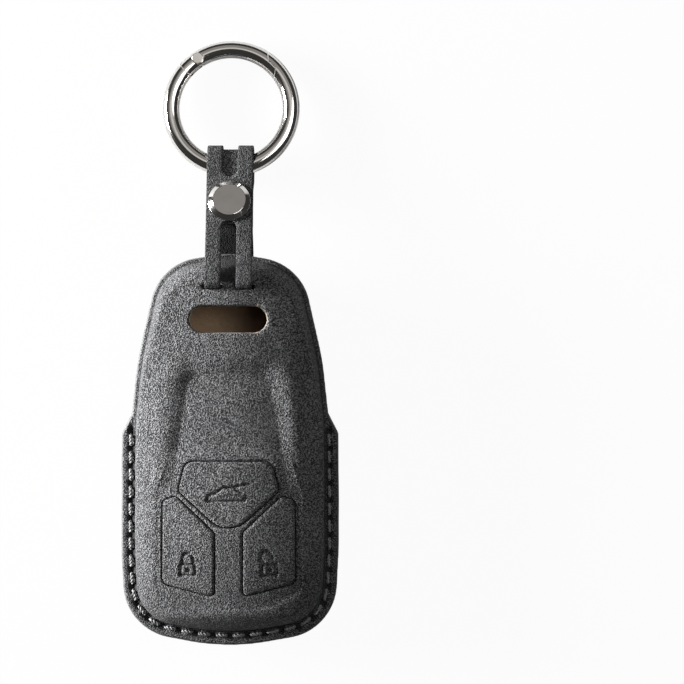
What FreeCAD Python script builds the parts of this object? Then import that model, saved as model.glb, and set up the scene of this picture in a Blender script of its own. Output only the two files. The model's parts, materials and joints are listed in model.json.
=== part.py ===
import FreeCAD, Part
import math

# Suede key fob cover with a wrapped strap and a spring-gate ring, lying on its back.
# Millimetres, +X right, +Y towards the ring, +Z up from the table. All sizes were read
# against a scale of 0.224 mm for each pixel of the photograph.

# Wall of the cover
suedeWall = 1.0
liningWall = 0.6
glueGap = 0.08
mouthGap = 0.3
splitGap = 0.3

# Pillow forms: depth from the seam plane and width of the rounded shoulder
frontRise = 10.0
backRise = 8.0
frontShoulder = 5.0
backShoulder = 5.0
formSteps = 6
cornerKeep = 0.5
gentleRadius = 20.0

# Right half of the dome outline, each point with its corner radius
domePoints = [
    (0.0, 18.8, 26.0),
    (15.0, 16.3, 11.2),
    (19.6, -4.0, 60.0),
    (21.2, -18.5, 60.0),
    (21.35, -46.0, 120.0),
    (20.5, -62.1, 9.3),
    (0.0, -65.8, 49.0),
]
upperFlange = 1.1
lowerFlange = 3.1
notchTop = -16.1
notchBottom = -20.6
notchRadius = 1.0
edgeRadius = 0.7

# Window that bares the end of what the cover holds
windowLength = 17.3
windowHeight = 6.1
windowY = 4.8
liningStep = 0.25

# Swell of the front, right half: distance from the middle and drop below the front face
swellPoints = [
    (0.0, 0.0),
    (5.0, 0.22),
    (10.0, 0.86),
    (14.0, 1.70),
    (15.7, 2.15),
    (17.0, 2.72),
    (18.5, 3.58),
    (19.6, 4.42),
    (20.4, 5.28),
    (21.6, 7.00),
    (23.5, 10.50),
]

# Sunken middle of the front: a ramp, deepest at the window's end, and a shallow pan round the pads
recessLift = 0.5
recessGrow = 0.3
rampDepth = 1.2
rampStart = -2.6
rampFull = -7.5
rampEnd = -25.2
rampStop = -29.0
rampSide = 1.92
panDepth = 0.35
panOutline = [
    (13.0, -23.2, 2.0),
    (16.2, -33.2, 2.8),
    (16.4, -56.0, 2.8),
    (8.2, -59.5, 8.5),
]

# Press pads, each with a lip tucked under the suede
padGap = 0.3
padLip = 0.5
padLipThick = 0.45
padLipGap = 0.06
padProud = 0.12
padEdge = 0.25
bootRight = [
    (9.4, -26.8, 2.0),
    (11.0, -33.1, 1.3),
]
bootTip = (0.0, -43.0, 5.5)
sidePad = [
    (3.3, -42.4, 1.0),
    (11.7, -34.5, 0.9),
    (14.5, -35.4, 1.0),
    (14.6, -53.6, 1.6),
    (3.3, -56.3, 0.8),
]

# Pressed pictograms
iconDepth = 0.3
iconLine = 0.55
bootIconAt = (0.0, -34.4)
lockIconAt = (-9.0, -49.2)
unlockIconAt = (9.0, -49.2)
padlockWidth = 3.8
padlockHeight = 2.9
shackleRadius = 1.2
shackleRise = 1.1
carLength = 9.4
carHeight = 2.0

# Stitching round the closed half
stitchOffset = 0.95
stitchTop = -20.2
stitchPitch = 3.9
threadRadius = 0.38
threadLift = 0.04
legOffset = 0.9
legDepth = 0.85
threadBend = 0.5
holeSide = 0.2

# Strap, one strip that goes round the bridge above the slit and twice round the ring
strapWidth = 10.4
strapWall = 0.9
strapSlope = 20.8
slitY = 12.0
slitWidth = 12.5
slitPlay = 0.35
bandDrop = 0.8
innerTurnY = 14.6
innerRiseZ = 10.6
mouthTurnY = 19.7
mouthBend = 1.5
innerBend = 2.2
slitBend = 0.8
slotWidth = 3.4
lowerSlotEnd = 26.9
upperSlotStart = 37.0
swingY = 21.5
notchPlay = 0.4

# Rivet
rivetY = 31.1
stackTail = 4.9
tailBend = 1.6
crotchReach = 6.2
capRadius = 4.75
capFace = 3.65
capRim = 0.45
capRise = 1.2
postRadius = 1.5
postFit = 0.05
baseRadius = 3.4
baseThick = 0.7
baseRound = 0.25
baseClear = 0.6
tailRun = 0.6
seatGap = 0.02
socketDepth = 0.7

# Ring
wireRadius = 1.94
ringRadius = 13.6
loopPlay = 0.13
loopUnderside = 0.1

# Gate of the ring, angles counted from +X in the plane of the ring
pinAngle = 124.0
tailRadius = 4.0
tailGap = 0.2
gateGap = 0.2
noseX = 8.2
lapReach = 17.7
lapGap = 0.24
tonguePlate = 1.1
tonguePlay = 0.1
tongueRadius = 1.7
tongueHalf = 1.5
tongueGap = 0.25
camFlat = 1.25
pinRadius = 1.0
pinPlay = 0.05
pinHead = 1.3
pinHeadThick = 0.42
pinSeat = 1.45
headPlay = 0.1
boreTurn = 9.5
boreRadius = 0.75
boreEnd = 6.8
boreStart = 1.15
plungerPlay = 0.06
plungerLength = 2.2
plungerClear = 0.08
springWire = 0.5
springRadius = 0.44
springTurns = 3
springSeat = 0.06

V = FreeCAD.Vector


def flat(z):
    return lambda a, b: V(a, b, z)


def side(x):
    return lambda a, b: V(x, a, b)


def mirrored(half):
    # Full outline from a right half; points on the axis are used once.
    left = [(-x, y, r) for x, y, r in reversed(half) if abs(x) > 1e-9]
    return list(half) + left


def unit(ax, ay):
    length = math.hypot(ax, ay)
    return ax / length, ay / length


def signedArea(points):
    total = 0.0
    for i in range(len(points)):
        a = points[i]
        b = points[(i + 1) % len(points)]
        total += a[0] * b[1] - b[0] * a[1]
    return total / 2.0


def grown(points, amount, radiusFactor=1.0):
    # Mitred offset of a closed outline, outwards for a positive amount.
    turn = 1.0 if signedArea(points) > 0 else -1.0
    count = len(points)
    result = []
    for i in range(count):
        ax, ay, _ = points[i - 1]
        bx, by, radius = points[i]
        cx, cy, _ = points[(i + 1) % count]
        d1x, d1y = unit(bx - ax, by - ay)
        d2x, d2y = unit(cx - bx, cy - by)
        n1x, n1y = d1y * turn, -d1x * turn
        n2x, n2y = d2y * turn, -d2x * turn
        scale = amount / (1.0 + n1x * n2x + n1y * n2y)
        convex = (d1x * d2y - d1y * d2x) * turn > 0
        change = amount * radiusFactor if convex else -amount * radiusFactor
        newRadius = radius if radius > gentleRadius else max(radius + change, 0.2)
        result.append((bx + (n1x + n2x) * scale, by + (n1y + n2y) * scale, newRadius))
    return result


def cornerArc(a, b, c, radius):
    # Tangent points and mid point of the arc that rounds corner b.
    ux, uy = unit(a[0] - b[0], a[1] - b[1])
    wx, wy = unit(c[0] - b[0], c[1] - b[1])
    half = math.acos(max(-1.0, min(1.0, ux * wx + uy * wy))) / 2.0
    reach = radius / math.tan(half)
    start = (b[0] + ux * reach, b[1] + uy * reach)
    end = (b[0] + wx * reach, b[1] + wy * reach)
    mx, my = unit(ux + wx, uy + wy)
    depth = radius / math.sin(half) - radius
    return start, (b[0] + mx * depth, b[1] + my * depth), end


def pathEdges(points, place, closed):
    # Straight runs joined by tangent arcs; a radius of 0 leaves the corner sharp.
    count = len(points)
    pieces = []
    for i in range(count):
        b = points[i]
        if b[2] <= 0 or (not closed and i in (0, count - 1)):
            pieces.append((b[:2], None, b[:2]))
            continue
        pieces.append(cornerArc(points[i - 1], b, points[(i + 1) % count], b[2]))
    edges = []
    for i in range(count):
        start, middle, end = pieces[i]
        if middle:
            edges.append(Part.Arc(place(*start), place(*middle), place(*end)).toShape())
        if i == count - 1 and not closed:
            break
        following = pieces[(i + 1) % count][0]
        if math.hypot(following[0] - end[0], following[1] - end[1]) > 1e-7:
            edges.append(Part.LineSegment(place(*end), place(*following)).toShape())
    return edges


def outline(points, place):
    return Part.Wire(pathEdges(points, place, True))


def prism(points, z0, z1):
    return Part.Face(outline(points, flat(z0))).extrude(V(0, 0, z1 - z0))


def sidePrism(wire, half):
    # A closed wire in the plane X = 0, extruded to both sides.
    shape = Part.Face(wire).extrude(V(2 * half, 0, 0))
    shape.translate(V(-half, 0, 0))
    return shape


def obround(x, y, length, height, z0, z1):
    points = [
        (x - length / 2, y - height / 2, height / 2 * 0.9999),
        (x + length / 2, y - height / 2, height / 2 * 0.9999),
        (x + length / 2, y + height / 2, height / 2 * 0.9999),
        (x - length / 2, y + height / 2, height / 2 * 0.9999),
    ]
    return prism(points, z0, z1)


def slab(x0, x1, y0, y1, z0, z1):
    return Part.makeBox(x1 - x0, y1 - y0, z1 - z0, V(x0, y0, z0))


def bandWire(points, wall, place):
    # Outline of a strip of one thickness along an open route of points with radii.
    count = len(points)
    near = []
    far = []
    for i in range(count):
        b = points[i]
        before = points[i - 1] if i > 0 else None
        after = points[i + 1] if i < count - 1 else None
        d1 = unit(b[0] - before[0], b[1] - before[1]) if before else None
        d2 = unit(after[0] - b[0], after[1] - b[1]) if after else None
        d1 = d1 or d2
        d2 = d2 or d1
        n1 = (-d1[1], d1[0])
        n2 = (-d2[1], d2[0])
        scale = wall / 2 / (1.0 + n1[0] * n2[0] + n1[1] * n2[1])
        shift = ((n1[0] + n2[0]) * scale, (n1[1] + n2[1]) * scale)
        leftTurn = d1[0] * d2[1] - d1[1] * d2[0] > 0
        inner = b[2] - wall / 2 if b[2] > 0 else 0.0
        outer = b[2] + wall / 2 if b[2] > 0 else 0.0
        near.append((b[0] + shift[0], b[1] + shift[1], inner if leftTurn else outer))
        far.append((b[0] - shift[0], b[1] - shift[1], outer if leftTurn else inner))
    return outline(near + far[::-1], place)


# The two halves of the cover
seamZ = backRise
frontZ = seamZ + frontRise
dome = mirrored(domePoints)
upper = grown(dome, upperFlange)
lower = grown(dome, lowerFlange)


def lineAt(a, b, y):
    share = (y - a[1]) / (b[1] - a[1])
    return a[0] + (b[0] - a[0]) * share


halfOuter = upper[:3]
halfOuter.append((lineAt(upper[2], upper[3], notchTop), notchTop, notchRadius))
halfOuter.append((lineAt(lower[3], lower[4], notchBottom), notchBottom, notchRadius))
halfOuter.extend(lower[4:7])
outer = mirrored(halfOuter)
farX = lower[4][0] + 10.0
farY = ringRadius * 4 + rivetY
lowY = lower[6][1] - 10.0


def pillow(rise, shoulder, depth, up):
    # Loft from the seam plane over an elliptic shoulder; depth sinks it along its normal.
    wires = []
    for i in range(formSteps):
        angle = math.radians(90.0 * i / (formSteps - 1))
        norm = math.hypot(rise * math.cos(angle), shoulder * math.sin(angle))
        inset = shoulder * (1 - math.cos(angle)) + depth * rise * math.cos(angle) / norm
        height = rise * math.sin(angle) - depth * shoulder * math.sin(angle) / norm
        z = seamZ + height if up else seamZ - height
        wires.append(outline(grown(dome, -inset, cornerKeep), flat(z)))
    return Part.makeLoft(wires, True, False)


def swellBar(depth):
    # Long bar whose upper side is the front's swell, sunk by depth along its normal.
    half = [(x, frontZ - drop) for x, drop in swellPoints]
    line = [(-x, z) for x, z in half[:0:-1]] + half
    sunk = []
    for i, (x, z) in enumerate(line):
        a = line[max(i - 1, 0)]
        b = line[min(i + 1, len(line) - 1)]
        way = unit(b[0] - a[0], b[1] - a[1])
        sunk.append(V(x + way[1] * depth, lowY, z - way[0] * depth))
    swell = Part.BSplineCurve()
    swell.interpolate(sunk)
    right = V(sunk[-1].x, lowY, -frontZ)
    left = V(sunk[0].x, lowY, -frontZ)
    wire = Part.Wire([swell.toShape(), Part.makeLine(sunk[-1], right),
                      Part.makeLine(right, left), Part.makeLine(left, sunk[0])])
    return Part.Face(wire).extrude(V(0, farY - lowY, 0))


def recessTool(depth):
    # Ramp with a sloping end, level sides and a swollen floor, and the pan sunk below the swell.
    high = frontZ + recessLift
    low = frontZ - rampSide - depth
    fall = rampDepth / (rampStart - rampFull)
    profile = [
        V(0, rampStart + (recessLift + depth) / fall, high),
        V(0, rampStart - rampSide / fall, low),
        V(0, rampStop, low),
        V(0, rampStop, high),
    ]
    floor = swellBar(depth)
    tilt = math.degrees(math.atan2(rampDepth - panDepth, rampFull - rampEnd))
    floor.rotate(V(0, rampFull, frontZ), V(1, 0, 0), -tilt)
    floor.translate(V(0, 0, -rampDepth))
    ramp = sidePrism(Part.makePolygon(profile + profile[:1]), panOutline[1][0]).cut(floor)
    pan = prism(grown(mirrored(panOutline), recessGrow * depth, 0.0), seamZ, high)
    return [ramp, pan.cut(swellBar(panDepth + depth))]


def frontForm(depth):
    swollen = pillow(frontRise, frontShoulder, depth, True).common(swellBar(depth))
    return swollen.cut(recessTool(depth))


def backForm(depth):
    return pillow(backRise, backShoulder, depth, False)


liningDepth = suedeWall + glueGap
cavityDepth = liningDepth + liningWall
flangeTop = seamZ + liningWall + glueGap + suedeWall
flangeLow = seamZ - liningWall - glueGap - suedeWall


def rimPlate(z0, z1, roundZ):
    # Flat rim of one layer; the painted outer edge is rounded at roundZ.
    plate = prism(outer, z0, z1)
    if roundZ is None:
        return plate
    rims = [e for e in plate.Edges if abs(e.BoundBox.ZMin - roundZ) < 1e-6
            and abs(e.BoundBox.ZMax - roundZ) < 1e-6]
    return plate.makeFillet(min(edgeRadius, 0.9 * suedeWall), rims)


frontOuter = rimPlate(flangeTop - suedeWall, flangeTop, flangeTop).fuse(frontForm(0.0))
frontPanel = frontOuter.cut(frontForm(suedeWall))
frontPanel = frontPanel.cut(slab(-farX, farX, lowY, farY, seamZ - 1, flangeTop - suedeWall))
frontLining = rimPlate(seamZ, seamZ + liningWall, None).fuse(frontForm(liningDepth))
frontLining = frontLining.cut(frontForm(cavityDepth))

backOuter = rimPlate(flangeLow, flangeLow + suedeWall, flangeLow).fuse(backForm(0.0))
backSuede = backOuter.cut(backForm(suedeWall))
backSuede = backSuede.cut(slab(-farX, farX, lowY, farY, flangeLow + suedeWall, seamZ + 1))
backInner = rimPlate(seamZ - liningWall, seamZ, None).fuse(backForm(liningDepth))
backInner = backInner.cut(backForm(cavityDepth))

# Window, slit and the seats of the pads
windowCut = obround(0, windowY, windowLength, windowHeight, seamZ + cavityDepth, frontZ + 5)
liningWindow = obround(0, windowY, windowLength - 2 * liningStep,
                       windowHeight - 2 * liningStep, seamZ + cavityDepth, frontZ + 5)
slitHeight = strapWall + 2 * slitPlay
slitCut = obround(0, slitY, slitWidth, slitHeight, frontZ - frontRise / 2, frontZ + 5)
frontPanel = frontPanel.cut(windowCut).cut(slitCut)
frontLining = frontLining.cut(liningWindow).cut(slitCut)

padOutlines = {
    "boot_pad": list(bootRight) + [bootTip] + [(-x, y, r) for x, y, r in reversed(bootRight)],
    "lock_pad": [(-x, y, r) for x, y, r in sidePad],
    "unlock_pad": list(sidePad),
}
padTop = panDepth - padProud
padUnder = panDepth + suedeWall + padLipGap
padBase = padUnder + padLipThick
padSurface = swellBar(padTop)
padBed = swellBar(padBase)
pads = {}
for name, points in padOutlines.items():
    seat = prism(grown(points, padGap), seamZ + cavityDepth, frontZ + 1)
    pocket = prism(grown(points, padLip + padGap), seamZ + cavityDepth, frontZ + 1)
    frontPanel = frontPanel.cut(seat)
    frontLining = frontLining.cut(pocket)
    body = prism(points, seamZ, frontZ + 1).common(padSurface).cut(padBed)
    top = []
    for edge in body.Edges:
        middle = edge.valueAt((edge.FirstParameter + edge.LastParameter) / 2)
        if padSurface.Shells[0].distToShape(Part.Vertex(middle))[0] < 1e-4:
            top.append(edge)
    body = body.makeFillet(padEdge, top)
    lip = prism(grown(points, padLip), seamZ, frontZ + 1).common(swellBar(padUnder)).cut(padBed)
    pads[name] = body.fuse(lip)

# Pressed pictograms: a car with its boot lid up, a closed and an open padlock
iconHigh = frontZ + 1
iconLow = seamZ + cavityDepth
iconBed = swellBar(padTop + iconDepth)


def iconFrame(points):
    rim = prism(points, iconLow, iconHigh)
    return rim.cut(prism(grown(points, -iconLine), iconLow - 1, iconHigh + 1))


def padlock(at, lean):
    x, y = at
    body = [
        (x - padlockWidth / 2, y - padlockHeight, 0.5 * iconLine),
        (x + padlockWidth / 2, y - padlockHeight, 0.5 * iconLine),
        (x + padlockWidth / 2, y, 0.5 * iconLine),
        (x - padlockWidth / 2, y, 0.5 * iconLine),
    ]
    high = y + shackleRise + shackleRadius
    hoop = [
        (x - shackleRadius, y - iconLine / 2, 0),
        (x - shackleRadius, high, shackleRadius * 0.98),
        (x + shackleRadius, high, shackleRadius * 0.98),
        (x + shackleRadius, y - iconLine / 2, 0),
    ]
    shackle = Part.Face(bandWire(hoop, iconLine, flat(iconLow))).extrude(V(0, 0, iconHigh - iconLow))
    if lean:
        shackle.rotate(V(x - shackleRadius, y, 0), V(0, 0, 1), lean)
    keyhole = Part.makeCylinder(iconLine, iconHigh - iconLow, V(x, y - padlockHeight / 2, iconLow))
    return [iconFrame(body), shackle, keyhole]


def bootCar(at):
    x, y = at
    half = carLength / 2
    body = [
        (x - half, y - carHeight / 2, 0),
        (x - half, y + 0.1 * carHeight, 0.6),
        (x - half + 0.2 * carLength, y + 0.35 * carHeight, 0.9),
        (x - half + 0.36 * carLength, y + carHeight, 1.0),
        (x - half + 0.62 * carLength, y + carHeight, 1.0),
        (x + half - 0.16 * carLength, y + 0.35 * carHeight, 0),
    ]
    lid = [
        (x - half + 0.62 * carLength, y + 1.05 * carHeight, 0),
        (x + half, y + 1.45 * carHeight, 0),
    ]
    sill = [
        (x - half, y - carHeight / 2, 0),
        (x + half - 0.1 * carLength, y - carHeight / 2, 0.6),
        (x + half - 0.1 * carLength, y + 0.2 * carHeight, 0),
    ]
    lines = [body, lid, sill]
    return [Part.Face(bandWire(p, iconLine, flat(iconLow))).extrude(V(0, 0, iconHigh - iconLow))
            for p in lines]


icons = {
    "boot_pad": bootCar(bootIconAt),
    "lock_pad": padlock(lockIconAt, 0.0),
    "unlock_pad": padlock(unlockIconAt, 32.0),
}
for name in pads:
    pads[name] = pads[name].cut([icon.cut(iconBed) for icon in icons[name]])

# Stitch holes and threads along the closed half
seamLine = grown(dome, stitchOffset)
route = [(lineAt(seamLine[3], seamLine[4], stitchTop), stitchTop, 0.0)] + seamLine[4:9]
route.append((-route[0][0], stitchTop, 0.0))
seamPath = Part.Wire(pathEdges(route, flat(0.0), False))
stitchCount = int(round(seamPath.Length / stitchPitch))
seamHoles = seamPath.discretize(Number=stitchCount + 1)
holeTools = []
holeHalf = threadRadius + holeSide
for i in range(stitchCount + 1):
    before = seamHoles[max(i - 1, 0)]
    after = seamHoles[min(i + 1, stitchCount)]
    turn = math.degrees(math.atan2(after.y - before.y, after.x - before.x))
    tool = obround(0, 0, 2 * (legOffset + holeHalf), 2 * holeHalf, flangeLow - 1, flangeTop + 1)
    tool.rotate(V(0, 0, 0), V(0, 0, 1), turn)
    tool.translate(V(seamHoles[i].x, seamHoles[i].y, 0))
    holeTools.append(tool)
frontPanel = frontPanel.cut(holeTools)
frontLining = frontLining.cut(holeTools)
backSuede = backSuede.cut(holeTools)
backInner = backInner.cut(holeTools)


def stitchRow(faceZ, up):
    # One staple of thread from each hole to the next, lying on the rim.
    threads = []
    way = 1.0 if up else -1.0
    high = faceZ + way * (threadRadius + threadLift)
    low = faceZ - way * legDepth
    for i in range(stitchCount):
        a = seamHoles[i]
        b = seamHoles[i + 1]
        dx, dy = unit(b.x - a.x, b.y - a.y)
        span = math.hypot(b.x - a.x, b.y - a.y) - legOffset
        place = lambda s, z, a=a, dx=dx, dy=dy: V(a.x + dx * s, a.y + dy * s, z)
        bow = [(legOffset, low, 0), (legOffset, high, threadBend), (span, high, threadBend), (span, low, 0)]
        spine = Part.Wire(pathEdges(bow, place, False))
        ring = Part.Wire(Part.makeCircle(threadRadius, place(legOffset, low), V(0, 0, way)))
        threads.append(spine.makePipeShell([ring], True, False))
    return Part.makeCompound(threads)


stitchesFront = stitchRow(flangeTop, True)
stitchesBack = stitchRow(flangeLow, False)

# Back half: stitched panel below, loose flap above, which parts from the front at the mouth
splitY = (notchTop + notchBottom) / 2
belowSplit = slab(-farX, farX, lowY, splitY - splitGap / 2, -5, seamZ + 5)
aboveSplit = slab(-farX, farX, splitY + splitGap / 2, farY, -5, seamZ - mouthGap)
bandZ = seamZ - bandDrop
strapNotch = slab(-strapWidth / 2 - notchPlay, strapWidth / 2 + notchPlay, innerTurnY, farY,
                  flangeLow - 0.5, seamZ + 1)
backPanel = backSuede.common(belowSplit)
backLining = backInner.common(belowSplit)
backFlap = backSuede.common(aboveSplit).cut(strapNotch)
flapLining = backInner.common(aboveSplit).cut(strapNotch)

# Strap: u runs along it from the rivet to the ring, v stands on its top face
slope = math.radians(strapSlope)
ringInside = math.sqrt((ringRadius - wireRadius) ** 2 - (strapWidth / 2) ** 2)
axisBack = (ringRadius + wireRadius + ringInside) / 2
tunnelRadius = (ringRadius + wireRadius - ringInside) / 2 + loopPlay
outerTurn = tunnelRadius + 2 * strapWall
axisZ = loopUnderside + outerTurn
crotch = math.atan2(tunnelRadius, crotchReach) * 2
crotchShift = 2 * strapWall * (math.sin(crotch) - math.tan(crotch / 2) * math.cos(crotch))
crotchU = baseRadius + baseClear + crotchShift
axisU = crotchU + crotchReach
axisV = -outerTurn
rivetZ = axisZ + axisU * math.sin(slope) - axisV * math.cos(slope)


def strapPoint(u, v):
    y = rivetY + u * math.cos(slope) + v * math.sin(slope)
    z = rivetZ - u * math.sin(slope) + v * math.cos(slope)
    return V(0, y, z)


axisY = strapPoint(axisU, axisV).y


def turnWire(out, leftU, lowV):
    # Outline that goes round the ring's wire, a distance out from the tunnel.
    radius = tunnelRadius + out
    topV = -2 * strapWall + out
    baseU = crotchU - out * math.sin(crotch)
    baseV = -2 * strapWall - out * math.cos(crotch)
    tangentU = baseU + crotchReach * math.cos(crotch)
    tangentV = baseV - crotchReach * math.sin(crotch)
    edges = []
    start = strapPoint(leftU, topV)
    edges.append(Part.LineSegment(start, strapPoint(axisU, topV)).toShape())
    bend = Part.Arc(strapPoint(axisU, topV), strapPoint(axisU + radius, axisV),
                    strapPoint(tangentU, tangentV))
    edges.append(bend.toShape())
    corner = strapPoint(baseU, baseV)
    if out > 0:
        share = (baseV - lowV) / math.sin(crotch)
        corner = strapPoint(baseU + share * math.cos(crotch), lowV)
    edges.append(Part.LineSegment(strapPoint(tangentU, tangentV), corner).toShape())
    if out > 0:
        edges.append(Part.LineSegment(corner, strapPoint(leftU, lowV)).toShape())
        edges.append(Part.LineSegment(strapPoint(leftU, lowV), start).toShape())
    return Part.Wire(edges)


halfStrap = strapWidth / 2
stack = sidePrism(turnWire(2 * strapWall, -stackTail, -4 * strapWall), halfStrap)
stack = stack.cut(sidePrism(turnWire(0.0, crotchU, 0.0), halfStrap + 1))


def routePoint(u, v, radius):
    p = strapPoint(u, v)
    return (p.y, p.z, radius)


# Route of the single layer: stack, mouth, inside, up through the slit, front leg to the stack
tailU = -stackTail - tailRun
slitTurn = strapPoint(0, -strapWall / 2)
slitTurnZ = slitTurn.z + (slitTurn.y - slitY) * math.tan(slope)
singleLayer = [
    routePoint(-stackTail + 0.5, -2.5 * strapWall, 0.0),
    routePoint(tailU, -2.5 * strapWall, tailBend),
    (mouthTurnY, bandZ, mouthBend),
    (innerTurnY, bandZ, innerBend),
    (slitY, innerRiseZ, innerBend),
    (slitY, slitTurnZ, slitBend),
    routePoint(-stackTail + 0.5, -0.5 * strapWall, 0.0),
]
wrap = sidePrism(bandWire(singleLayer, strapWall, side(0.0)), halfStrap)
ringSide = slab(-farX, farX, swingY + splitGap / 2, farY, -50, 90)
caseSide = slab(-farX, farX, lowY, swingY - splitGap / 2, -50, 90)
strap = stack.fuse(wrap.common(ringSide))
strapLoop = wrap.common(caseSide)


def strapFrame(shape):
    # Carries a shape from the upright frame of the strap, u along X and v along Z, to its place.
    shape.rotate(V(0, 0, 0), V(0, 0, 1), 90)
    shape.rotate(V(0, 0, 0), V(1, 0, 0), -strapSlope)
    shape.translate(V(0, rivetY, rivetZ))
    return shape


lowerSlotU = (lowerSlotEnd - rivetY) / math.cos(slope)
upperSlotU = (upperSlotStart - rivetY) / math.cos(slope)
slotReach = (rivetY - slitY) / math.cos(slope) + lowerSlotU
lowerSlot = strapFrame(obround(lowerSlotU - slotReach / 2, 0, slotReach, slotWidth, -strapWall, 1.0))
slitSlot = slab(-slotWidth / 2, slotWidth / 2, slitY - slitHeight, swingY, innerRiseZ + slitBend,
                slitTurnZ + 2)
upperLength = axisU + outerTurn + 5 - upperSlotU
upperSlot = strapFrame(obround(upperSlotU + upperLength / 2, 0, upperLength, slotWidth,
                               axisV - outerTurn - 5, 1.0))
upperCore = sidePrism(turnWire(strapWall, 0.0, -3 * strapWall), halfStrap + 1)
strap = strap.cut(lowerSlot).cut(upperSlot.cut(upperCore))
strapLoop = strapLoop.cut(slitSlot)

# Rivet through the stack
postHole = strapFrame(Part.makeCylinder(postRadius + postFit, 30, V(0, 0, -20)))
strap = strap.cut(postHole)


def turned(profile):
    # Solid of revolution about Z from (radius, height) points with corner radii.
    wire = outline(profile, lambda a, b: V(a, 0, b))
    return Part.Face(wire).revolve(V(0, 0, 0), V(0, 0, 1), 360)


capLow = seatGap
cap = turned([
    (0.0, capLow, 0),
    (capRadius, capLow, 0),
    (capRadius, capLow + capRim, 0.15),
    (capFace, capLow + capRise, 0.2),
    (0.0, capLow + capRise, 0),
])
cap = cap.cut(Part.makeCylinder(postRadius + postFit, socketDepth, V(0, 0, capLow)))
rivetCap = strapFrame(cap)
stackLow = -4 * strapWall - seatGap
base = turned([
    (0.0, stackLow - baseThick, 0),
    (baseRadius, stackLow - baseThick, baseRound),
    (baseRadius, stackLow, 0),
    (postRadius, stackLow, 0),
    (postRadius, capLow + socketDepth - seatGap, 0),
    (0.0, capLow + socketDepth - seatGap, 0),
])
rivetBase = strapFrame(base)

# Ring, built flat about its own centre and then laid down with its far side on the table
tilt = math.asin((axisZ - wireRadius) / (axisBack + ringRadius))


def laid(shape):
    shape.rotate(V(0, 0, 0), V(1, 0, 0), -math.degrees(tilt))
    shape.translate(V(0, axisY + axisBack * math.cos(tilt), axisZ - axisBack * math.sin(tilt)))
    return shape


def drum(x, y, radius, half):
    return Part.makeCylinder(radius, 2 * half, V(x, y, -half))


pinX = ringRadius * math.cos(math.radians(pinAngle))
pinY = ringRadius * math.sin(math.radians(pinAngle))
torus = Part.makeTorus(ringRadius, wireRadius)
tall = wireRadius + 1


def gateZone(gap):
    # Where the gate lies, grown by a gap: tail disc, bow, and the inner half of the lap.
    tail = drum(pinX, pinY, tailRadius + (tailGap if gap else 0.0), tall)
    bow = slab(pinX, noseX + gap, ringRadius / 3, ringRadius + 2 * wireRadius, -tall, tall)
    lap = drum(0, 0, ringRadius - lapGap / 2 + (lapGap if gap else 0.0), tall)
    lap = lap.common(drum(pinX, pinY, lapReach + gap, tall))
    lap = lap.common(slab(noseX - 1, 2 * ringRadius, wireRadius, 2 * ringRadius, -tall, tall))
    return tail.fuse([bow, lap])


ringGate = torus.common(gateZone(0.0))
ringBody = torus.cut(gateZone(gateGap))

# Tongue on the ring between the two cheeks of the gate, with a flat for the plunger
along = math.radians(pinAngle - 90.0)
alongX = math.cos(along)
alongY = math.sin(along)
boreAngle = along - math.radians(boreTurn)
boreX = math.cos(boreAngle)
boreY = math.sin(boreAngle)
tailLength = tailRadius + tailGap + wireRadius


def alongPin(shape, angle):
    shape.rotate(V(0, 0, 0), V(0, 0, 1), math.degrees(angle))
    shape.translate(V(pinX, pinY, 0))
    return shape


tongue = slab(-tailLength, 0, -tongueHalf, tongueHalf, -tonguePlate / 2, tonguePlate / 2)
tongue = alongPin(tongue, along).fuse(drum(pinX, pinY, tongueRadius, tonguePlate / 2))
camCut = slab(camFlat, camFlat + 5, -5, 5, -tall, tall)
tongue = tongue.cut(alongPin(camCut, boreAngle)).common(torus)
ringBody = ringBody.fuse(tongue).cut(drum(pinX, pinY, pinRadius + pinPlay, tall))
slotHalf = tonguePlate / 2 + tonguePlay
cheekCut = drum(pinX, pinY, tailRadius + 1, slotHalf)
cheekCut = cheekCut.common(alongPin(slab(-20, 0, -20, 20, -tall, tall), along))
cheekCut = cheekCut.fuse(drum(pinX, pinY, tongueRadius + tongueGap, slotHalf))
ringGate = ringGate.cut(cheekCut).cut(drum(pinX, pinY, pinRadius, tall))
ringGate = ringGate.cut(Part.makeCylinder(pinHead + headPlay, tall, V(pinX, pinY, pinSeat)))


def onBore(distance):
    return V(pinX + boreX * distance, pinY + boreY * distance, 0)


boreWay = V(boreX, boreY, 0)
ringGate = ringGate.cut(Part.makeCylinder(boreRadius, boreEnd - boreStart, onBore(boreStart), boreWay))
pinLow = -math.sqrt(wireRadius ** 2 - pinRadius ** 2)
gatePin = Part.makeCylinder(pinRadius, pinSeat - pinLow, V(pinX, pinY, pinLow))
head = Part.makeCylinder(pinHead, pinHeadThick, V(pinX, pinY, pinSeat))
headTop = [e for e in head.Edges if abs(e.BoundBox.ZMin - pinSeat - pinHeadThick) < 1e-6]
gatePin = gatePin.fuse(head.makeFillet(0.4 * pinHeadThick, headTop))
plungerStart = camFlat + plungerClear
plungerEnd = plungerStart + plungerLength
gatePlunger = Part.makeCylinder(boreRadius - plungerPlay, plungerLength, onBore(plungerStart), boreWay)

# Spring behind the plunger: half turns of arc, rising evenly along the bore
springStart = plungerEnd + springSeat + springWire / 2
springEnd = boreEnd - springSeat - springWire / 2
springStep = (springEnd - springStart) / springTurns


def coilPoint(turn):
    angle = 2 * math.pi * turn
    local = V(springRadius * math.cos(angle), springRadius * math.sin(angle), springStep * turn)
    return local


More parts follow.
